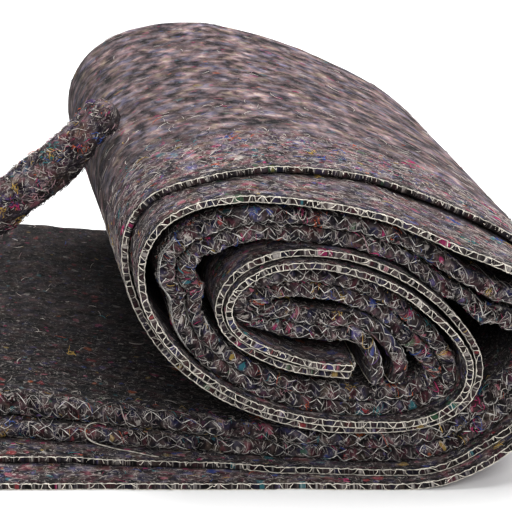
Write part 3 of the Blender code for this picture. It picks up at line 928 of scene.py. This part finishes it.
def tie_mesh(tie):
    rounding = TIE_CAP * (1 - np.cos(np.linspace(0, math.pi / 2, TIE_CAP_STEPS)))
    middle = np.linspace(TIE_CAP, tie.length - TIE_CAP, TIE_STEPS)[1:-1]
    along = np.concatenate([rounding, middle, tie.length - rounding[::-1]])
    turn = 2 * math.pi * np.arange(TIE_SIDES) / TIE_SIDES
    grid_along, grid_turn = np.meshgrid(along, turn, indexing="ij")
    points, _ = tie.spot(grid_along, grid_turn)
    last = (len(along) - 1) * TIE_SIDES
    ring = np.arange(TIE_SIDES)[None]
    faces = [ring_quads(len(along), TIE_SIDES)[:, ::-1], ring, last + ring[:, ::-1]]
    uv = np.stack([grid_along, grid_turn * TIE_DIAMETER / 2], axis=-1).reshape(-1, 2)
    return mesh_object("twisted_tie", points.reshape(-1, 3), faces, "cloth", uv)


def tie_stitches(tie, random, row):
    """One row of zigzag stitching that winds round with the twist: (lines, normals, radii, tints)."""
    spots = np.arange(3 * MM, tie.length - 5 * MM, TIE_STITCH)
    spots = spots + random.normal(0, 0.3 * MM, len(spots))
    sign = np.where(np.arange(len(spots)) % 2, 1.0, -1.0) * random.uniform(0.3, 1.4, len(spots))
    around = 2 * math.pi * row / TIE_ROWS - 2 * math.pi * spots / TWIST_PITCH + 0.11 * sign
    around = around + 0.12 * wander("tie row %d" % row, spots, 14 * MM)
    along, angle = (ends[:-1, None] * (1 - LEG) + ends[1:, None] * LEG for ends in (spots, around))
    keep = random.random(len(along)) < 0.55
    lift = random.uniform(0.1, 0.6, len(along))[:, None] * LEG_ARCH * MM
    lines, normals = tie.spot(along[keep], angle[keep], lift[keep])
    radii = THREAD * random.uniform(0.7, 1.1, (len(lines), 1)) * np.ones(4)
    return lines, normals, radii, random.choice((0.1, 0.3, 0.6), len(lines))


def tie_fibres(tie, random):
    """The tie's cover of loose fibres and tufts, with painted shade in darker tints on its underside, in
    the same form.
    """
    count = TIE_FIBRES
    t = np.linspace(0, 1, 4)
    along = random.uniform(1 * MM, tie.length - 1 * MM, count)
    angle = random.uniform(0, 2 * math.pi, count)
    tints = random.random(count)
    tufts = count // (5 * TUFT)
    tufted = tufts * TUFT
    # Painted shade: fibres on the tie's underside get darker tints.
    shaded = np.sin(angle) < random.normal(-0.2, 0.25, count)
    tints = np.where(shaded, 0.60 + 0.2 * tints, tints)
    along[:tufted] = along[:tufts].repeat(TUFT) + random.normal(0, 1.2 * MM, tufted)
    angle[:tufted] = angle[:tufts].repeat(TUFT) + random.normal(0, 0.13, tufted)
    tints[:tufted] = random.uniform(COLOURED_FROM, 1, tufts).repeat(TUFT)
    heading = random.normal(0, 1.1, count)[:, None]
    heading = heading + random.normal(0, 1.4, count)[:, None] * (t - 0.5)
    step = random.uniform(1.0, 3.2, count)[:, None] * MM / 3
    along = along[:, None] + np.cumsum(step * np.cos(heading), axis=1)
    angle = angle[:, None] + np.cumsum(step * np.sin(heading), axis=1) / (TIE_DIAMETER / 2)
    along = np.clip(along, 0.4 * MM, tie.length - 0.4 * MM)
    lift = random.uniform(-0.1, 0.9, count)[:, None] * fibre_arch(t) * MM
    lines, normals = tie.spot(along, angle, lift)
    radii = TIE_FIBRE * random.uniform(0.6, 1.3, count)[:, None] * np.array([0.5, 1, 1, 0.5])
    return lines, normals, radii, tints


def tie_threads(tie):
    random = generator("tie threads")
    tubes = Tubes(3)
    for row in range(TIE_ROWS):
        tubes.add_many(*tie_stitches(tie, random, row))
    tubes.add_many(*tie_fibres(tie, random))
    return tubes.finish("tie_threads")


# ---- materials


def colour_of(tone):
    """A shader's colour, from a share of white or from red, green and blue as on a screen."""
    if isinstance(tone, (int, float)):
        return (tone, tone, tone, 1.0)
    parts = [c / 255 for c in tone]
    return tuple(p / 12.92 if p <= 0.04045 else ((p + 0.055) / 1.055) ** 2.4 for p in parts) + (1.0,)


class Nodes:
    """A material's node tree, built a node at a time."""

    def __init__(self, name, settings):
        self.material = bpy.data.materials.new(name)
        self.material.use_nodes = True
        self.tree = self.material.node_tree
        self.shader = self.tree.nodes["Principled BSDF"]
        for key, value in ({"Specular IOR Level": 0.25} | settings).items():
            self.shader.inputs[key].default_value = value

    def add(self, kind, settings=None, **inputs):
        """A node; its inputs are given by name, or by number after an underscore."""
        node = self.tree.nodes.new("ShaderNode" + kind)
        for key, value in (settings or {}).items():
            setattr(node, key, value)
        for key, value in inputs.items():
            socket = node.inputs[int(key[1:])] if key[0] == "_" else node.inputs[key]
            if isinstance(value, bpy.types.NodeSocket):
                self.tree.links.new(value, socket)
            else:
                socket.default_value = value
        return node

    def uv(self, layer):
        return self.add("UVMap", {"uv_map": layer}).outputs[0]

    def part(self, vector, axis):
        """One coordinate of a vector."""
        return self.add("SeparateXYZ", Vector=vector).outputs[axis]

    def ramp(self, value, stops, mode="LINEAR"):
        """Colours that follow one another as a value grows, from stops of (place, tone)."""
        node = self.add("ValToRGB", Fac=value)
        elements = node.color_ramp.elements
        node.color_ramp.interpolation = mode
        for n, (place, tone) in enumerate(stops):
            stop = elements[n] if n < 2 else elements.new(place)
            stop.position = place
            stop.color = colour_of(tone)
        return node.outputs["Color"]

    def mix(self, share, first, second, mode="MIX"):
        if not isinstance(second, bpy.types.NodeSocket):
            second = colour_of(second)
        settings = {"data_type": "RGBA", "blend_type": mode}
        return self.add("Mix", settings, _0=share, _6=first, _7=second).outputs[2]

    def darken(self, share, colour, by):
        return self.mix(share, colour, by, "MULTIPLY")

    def blend(self, share, first, second):
        """A number that goes from the first to the second as the share goes from 0 to 1."""
        return self.add("Mix", {"data_type": "FLOAT"}, _0=share, _2=first, _3=second).outputs[0]

    def noise(self, vector, scale, detail=3.0, roughness=0.6, output="Fac"):
        """Noise with its own scale along and across the cloth, or in all three directions."""
        place = self.add("Mapping", Vector=vector, Scale=(*scale, 1)[:3]).outputs[0]
        inputs = {"Scale": 1.0, "Detail": detail, "Roughness": roughness}
        return self.add("TexNoise", Vector=place, **inputs).outputs[output]

    def compute(self, operation, first, second=0.0, kind="Math"):
        return self.add(kind, {"operation": operation}, _0=first, _1=second).outputs[0]

    plus = partialmethod(compute, "ADD")
    minus = partialmethod(compute, "SUBTRACT")
    times = partialmethod(compute, "MULTIPLY")

    def finish(self, colour):
        """The material, with the colour that its nodes give."""
        self.tree.links.new(colour, self.shader.inputs["Base Color"])
        return self.material


# Painted shade across the sheet, and how clearly single fibres stand out there: places in millimetres
# from edge 1. The shade is painted darkest along the stitched edges and in the folds, lighter on the
# folds' noses, and dark on the panel that lies uppermost when folded, a painted shadow on the flat
# part's top; fibres stand out where the felt is folded or cut.
# Painted shade round each front fold's nose: darkest in the creases at its sides, lighter on the nose.
FOLD_SHADES = ((-10, 0.12), (-5, 0.26), (-2, 0.46), (2, 0.46), (5, 0.26), (10, 0.12))
SHADES = (
    (0.0, 0.33), (2.4, 0.33), (5.0, 0.95), (30, 1.0), (236, 1.0), (262, 0.20), (470, 0.18),
    *((500 + past, value) for past, value in FOLD_SHADES), (527, 0.8),
    (973, 0.8), *((1000 + past, value) for past, value in FOLD_SHADES), (1027, 0.8),
    (1440, 0.85), (1480, 0.78), (1495, 0.70), (1497.6, 0.33),
)
CRISP = (
    (0.0, 1.0), (4.0, 0.95), (26, 0.75), (60, 0.15), (236, 0.15), (262, 0.2), (400, 0.4), (462, 0.9),
    (516, 1.0), (530, 0.5), (970, 0.5), (984, 1.0), (1016, 1.0), (1030, 0.5), (1440, 0.45), (1480, 0.65),
    (1497.6, 1.0),
)
# Painted shade on the sheet's borders on its flat part: in full up to start and fading out towards
# stop, with the least share of light that is left. BORDERS tells where they are across its width.
BorderShade = namedtuple("BorderShade", "start stop least")
BORDER_SHADE = BorderShade(20 * MM, 90 * MM, 0.75)
BORDERS = ((0.0, 1), (0.03, 1), (0.04, 0), (0.94, 0), (0.95, 1))
# The tie's painted shade, once round from its back: lightest on its top and darkest on its underside.
TIE_SHADES = ((0, 0.6), (8, 1.0), (25, 1.0), (32, 0.5), (42, 0.3), (50, 0.35), (56.5, 0.6))
TIE_CRISP = ((0, 0.6), (56.5, 0.6))

# The felt's tones from its pits, whose darkness is partly painted shade, to its lightest fibres, and the
# tints that wander over it.
TONES = (
    (0.40, (20, 17, 20)), (0.45, (78, 68, 71)), (0.50, (138, 125, 125)), (0.55, (184, 172, 170)),
    (0.61, (220, 211, 207)),
)
TINTS = (
    (0.38, (96, 100, 144)), (0.46, (126, 120, 124)), (0.53, (146, 112, 124)), (0.62, (140, 126, 98)),
)
DYES = (
    (0.38, (110, 140, 255)), (0.46, (235, 235, 235)), (0.54, (235, 235, 235)), (0.62, (255, 120, 170)),
)
# The scales of the blotches and of the clumps, along and across, where pressed and where crisp.
BLOTCHES = ((85, 75), (105, 140))
CLUMPS = ((180, 165), (230, 310))
# Drawn hairs: their scale, how strongly they show, and their colour.
PALE_HAIR, DARK_HAIR = (196, 188, 182), (16, 14, 16)
HAIRS = (((300, 380), 0.8, PALE_HAIR), ((430, 520), 0.8, PALE_HAIR), ((260, 330), 0.85, DARK_HAIR))
# Coloured flecks: the scale of their cells and the share of the cells that stay plain; their colours.
FLECK_CELLS = (((330, 390), 0.84), ((180, 220), 0.92))
FLECKS = (
    (0.00, (176, 44, 104)), (0.12, (160, 54, 58)), (0.22, (34, 118, 128)), (0.32, (42, 70, 150)),
    (0.42, (196, 96, 44)), (0.46, (34, 30, 34)), (0.58, (180, 104, 120)), (0.68, (86, 76, 128)),
    (0.80, (186, 156, 80)), (0.85, (60, 100, 70)), (0.91, (206, 198, 190)),
)
BLANKET_TONE, TIE_TONE = 0.66, 0.62
BUMP = 1.6 * MM


def swirled(nodes, place):
    """Places on the cloth moved a few millimetres about, so that its fibres curl."""
    moves = nodes.minus(nodes.noise(place, (240, 260), 2.0, 0.5, "Color"), (0.5, 0.5, 0.5), "VectorMath")
    return nodes.plus(place, nodes.times(moves, (0.004, 0.0035, 0), "VectorMath"), "VectorMath")


def add_hairs(nodes, colour, cloth, sharp, shade_softened):
    """Broken hairlines, two sets pale and one dark, where the felt is crisp, fainter under painted shade.
    """
    for n, (scale, most, tone) in enumerate(HAIRS):
        moved = nodes.add("Mapping", Vector=cloth, Location=(3.1 * n + 1, 1.7 * n, 0)).outputs[0]
        line = nodes.compute("ABSOLUTE", nodes.minus(nodes.noise(moved, scale, 1.0, 0.5), 0.5))
        breaks = nodes.ramp(nodes.noise(moved, (330, 420), 1.0), ((0.49, 0), (0.57, most)))
        hair = nodes.ramp(line, ((0.006, 1), (0.024, 0)))
        amount = nodes.times(nodes.darken(1.0, hair, breaks), shade_softened)
        colour = nodes.mix(nodes.times(amount, sharp), colour, tone)
    return colour


def add_flecks(nodes, colour, place, cloth, seen):
    """Small flecks of dyed fibre with ragged rims, fainter under painted shade."""
    for scale, plain in FLECK_CELLS:
        cells = nodes.add("Mapping", Vector=cloth, Scale=(*scale, 1)).outputs[0]
        cells = nodes.add("TexVoronoi", Vector=cells, Scale=1.0, Randomness=1.0)
        split = nodes.add("SeparateColor", Color=cells.outputs["Color"])
        chosen = nodes.compute("GREATER_THAN", split.outputs[0], plain)
        ragged = nodes.plus(cells.outputs["Distance"], nodes.times(nodes.noise(place, (1300, 1700)), 0.8))
        fleck = nodes.times(nodes.times(chosen, nodes.compute("LESS_THAN", ragged, 0.76)), seen)
        colour = nodes.mix(fleck, colour, nodes.ramp(split.outputs[1], FLECKS, "CONSTANT"))
    return colour


def felt(name, tone, shades, crisp, width, border_shade=None):
    """Recycled-fibre felt: clumps with dark pits between, partly painted shade, curled fibres and
    coloured flecks, under painted shade across the sheet and, where given, on the flat part's borders.
    """
    matt = {"Roughness": 0.95, "Specular IOR Level": 0.1, "Sheen Weight": 0.04, "Sheen Roughness": 0.6}
    nodes = Nodes(name, matt)
    place = nodes.uv("cloth")
    share = nodes.compute("DIVIDE", nodes.part(place, "Y"), width)
    shade, sharp = (
        nodes.ramp(share, [(at * MM / width, value) for at, value in marks]) for marks in (shades, crisp)
    )
    cloth = swirled(nodes, place)
    blotch, clump = (
        nodes.blend(sharp, nodes.noise(cloth, pressed, 2.0, 0.5), nodes.noise(cloth, loose, 1.5, 0.5))
        for pressed, loose in (BLOTCHES, CLUMPS)
    )
    fine = nodes.times(nodes.minus(nodes.noise(cloth, (620, 800)), 0.5), sharp)
    mixed = nodes.plus(nodes.times(blotch, 0.32), nodes.times(clump, 0.42))
    mixed = nodes.plus(mixed, nodes.times(fine, 0.34))
    # The noise that sinks the bump also darkens the colour: the felt's own mottling with painted shade in
    # its pits.
    colour = nodes.ramp(nodes.plus(mixed, 0.13), TONES)
    colour = nodes.mix(0.7, colour, nodes.ramp(nodes.noise(cloth, (90, 130), 4.0), TINTS), "OVERLAY")
    patches = nodes.ramp(nodes.noise(place, (38, 50), 3.0, 0.55), ((0.38, 0.45), (0.58, 1.0)))
    colour = nodes.darken(0.7, colour, patches)
    # Random dark blotches as painted shade in hollows, deeper where the painted shade across the sheet is
    # darker.
    hollow = nodes.ramp(nodes.noise(cloth, (95, 125), 1.5, 0.5), ((0.42, 0.22), (0.54, 1.0)))
    colour = nodes.darken(nodes.times(nodes.minus(1.0, shade), 0.9), colour, hollow)
    dye = nodes.ramp(nodes.noise(cloth, (150, 190), 1.0, 0.5), DYES)
    colour = nodes.darken(nodes.times(sharp, 0.7), colour, dye)
    # The painted shade across the sheet darkens the felt's colour.
    colour = nodes.darken(1.0, nodes.darken(1.0, colour, tone), shade)
    # Painted shade on the borders of the flat part.
    if border_shade:
        along = nodes.minus(nodes.part(place, "X"), border_shade.start)
        along = nodes.compute("DIVIDE", along, border_shade.stop - border_shade.start)
        light_left = nodes.ramp(along, ((0.0, border_shade.least), (1.0, 1.0)))
        colour = nodes.darken(nodes.ramp(share, BORDERS), colour, light_left)
    # The painted shade, softened: hairs and flecks show less where it is darker.
    shade_softened = nodes.times(nodes.compute("POWER", shade, 0.35), 0.9)
    colour = add_hairs(nodes, colour, cloth, sharp, shade_softened)
    seen = nodes.times(shade_softened, nodes.plus(nodes.times(sharp, 0.5), 0.16))
    colour = add_flecks(nodes, colour, place, cloth, seen)
    height = nodes.plus(nodes.plus(clump, nodes.times(fine, 0.45)), blotch)
    bump = nodes.add("Bump", Strength=1.0, Distance=BUMP, Height=height)
    nodes.tree.links.new(bump.outputs[0], nodes.shader.inputs["Normal"])
    return nodes.finish(colour)


def thread_material(name, tone):
    """Thin thread, uneven in tone along it and from one stitch to the next."""
    nodes = Nodes(name, {"Roughness": 0.7})
    speck = nodes.noise(nodes.add("TexCoord").outputs["Object"], (420, 420, 420))
    streaks = nodes.ramp(speck, ((0.38, 0.45), (0.56, 1.0)))
    soil = nodes.ramp(nodes.part(nodes.uv("tint"), "X"), ((0.0, 1.0), (1.0, 0.15)))
    return nodes.finish(nodes.darken(1.0, nodes.darken(1.0, streaks, tone), soil))


FIBRES = (
    (0.00, (206, 198, 190)), (0.30, (158, 148, 145)), (0.50, (112, 100, 104)), (0.62, (40, 34, 40)),
    (COLOURED_FROM, (176, 140, 146)), (0.82, (180, 50, 104)), (0.86, (52, 84, 158)),
    (0.895, (48, 130, 136)), (0.925, (190, 156, 80)), (0.95, (96, 70, 124)), (0.975, (190, 84, 50)),
)


def fibre_material():
    nodes = Nodes("fibre_mix", {"Roughness": 0.8})
    return nodes.finish(nodes.ramp(nodes.part(nodes.uv("tint"), "X"), FIBRES, "CONSTANT"))


def floor_material():
    return Nodes("pale_floor", {"Roughness": 0.9, "Base Color": colour_of(FLOOR_TONE)}).material


# ---- stage

# The camera in the strip's axes, in millimetres, and its lens.
CAMERA_SPOT = (-35.9, -727.5, 319.9)
CAMERA_DOWN = 17.5
CAMERA_LENS = 150.0
SENSOR = 36.0
# The soft lights, in metres and watts, and the plain studio round them.
Light = namedtuple("Light", "name spot target size power")
LIGHTS = (
    Light("overhead", (0.5, 0.35, 1.4), (0.0, 0.0, 0.0), (1.5, 1.3), 36.0),
    Light("front", (0.6, -1.5, 1.1), (0.0, 0.0, 0.05), (1.4, 0.9), 17.0),
)
WORLD_STRENGTH = 0.34
FLOOR_HALF = 4.0
FLOOR_TONE = 0.96


def add_camera(shift):
    camera = bpy.data.cameras.new("camera")
    camera.lens = CAMERA_LENS
    camera.sensor_width = SENSOR
    camera.clip_start = 10 * MM
    item = new_object("camera", camera)
    item.location = Vector(CAMERA_SPOT) * MM + Vector(shift)
    item.rotation_euler = (math.radians(90 - CAMERA_DOWN), 0, 0)
    bpy.context.scene.camera = item


def add_light(plan):
    light = bpy.data.lights.new(plan.name, "AREA")
    light.shape = "RECTANGLE"
    light.size, light.size_y = plan.size
    light.energy = plan.power
    item = new_object(plan.name, light)
    item.location = plan.spot
    ahead = Vector(plan.target) - Vector(plan.spot)
    item.rotation_euler = ahead.to_track_quat("-Z", "Y").to_euler()


def add_stage():
    mesh = bpy.data.meshes.new("floor")
    corners = [(x * FLOOR_HALF, y * FLOOR_HALF, 0) for x, y in ((-1, -1), (1, -1), (1, 1), (-1, 1))]
    mesh.from_pydata(corners, [], [(0, 1, 2, 3)])
    mesh.materials.append(floor_material())
    floor = new_object("floor", mesh)
    world = bpy.data.worlds.new("studio")
    world.use_nodes = True
    background = world.node_tree.nodes["Background"]
    background.inputs["Color"].default_value = colour_of(1.0)
    background.inputs["Strength"].default_value = WORLD_STRENGTH
    bpy.context.scene.world = world
    for plan in LIGHTS:
        add_light(plan)
    bpy.context.scene.view_settings.view_transform = "Standard"


# ---- the pieces


def dress(item, material, slot, *nodes):
    item.data.materials.append(material)
    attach(item, "root")
    if nodes:
        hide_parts(*nodes)
    return item


def add_tie(shift, fibre):
    tie = Tie(shift)
    look = felt("twisted_felt_look", TIE_TONE, TIE_SHADES, TIE_CRISP, TIE_AROUND)
    twisted = dress(tie_mesh(tie), look, "twisted_felt", "felt_tie")
    crumbs = dress(tie_threads(tie), fibre, "twisted_felt")


def add_blanket(shift, fibre):
    thread = thread_material("cream_thread", (240, 232, 218))
    pale = thread_material("stitch_thread", (238, 234, 228))
    strip = Strip(shift)
    cloth = blanket_mesh(strip)
    look = felt("recycled_felt_look", BLANKET_TONE, SHADES, CRISP, BLANKET_WIDTH, BORDER_SHADE)
    dress(cloth, look, "recycled_felt", "blanket")
    looks = [(overlock(border, seam), thread) for border, seam in zip(borders(strip), SEAMS)]
    looks += [(stitch_rows(strip), pale), (loose_thread(shift), thread)]
    for plans, name in (
        (ROLL_FIBRES, "roll_fibres"), (FOLD_FIBRES, "fold_fibres"), (FLAT_FIBRES, "flat_fibres"),
    ):
        looks.append((fibre_piece(strip, plans, name), fibre))
    pieces = [dress(piece, material, "recycled_felt") for piece, material in looks]


def build():
    low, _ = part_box("blanket")
    along, _, _, plan = whole_strip()
    shift = np.array([low[0] - along[0], low[1] - plan[:, PLIES].min(), 0.0])
    fibre = fibre_material()
    add_tie(shift, fibre)
    add_blanket(shift, fibre)
    add_camera(shift)
    add_stage()


build()
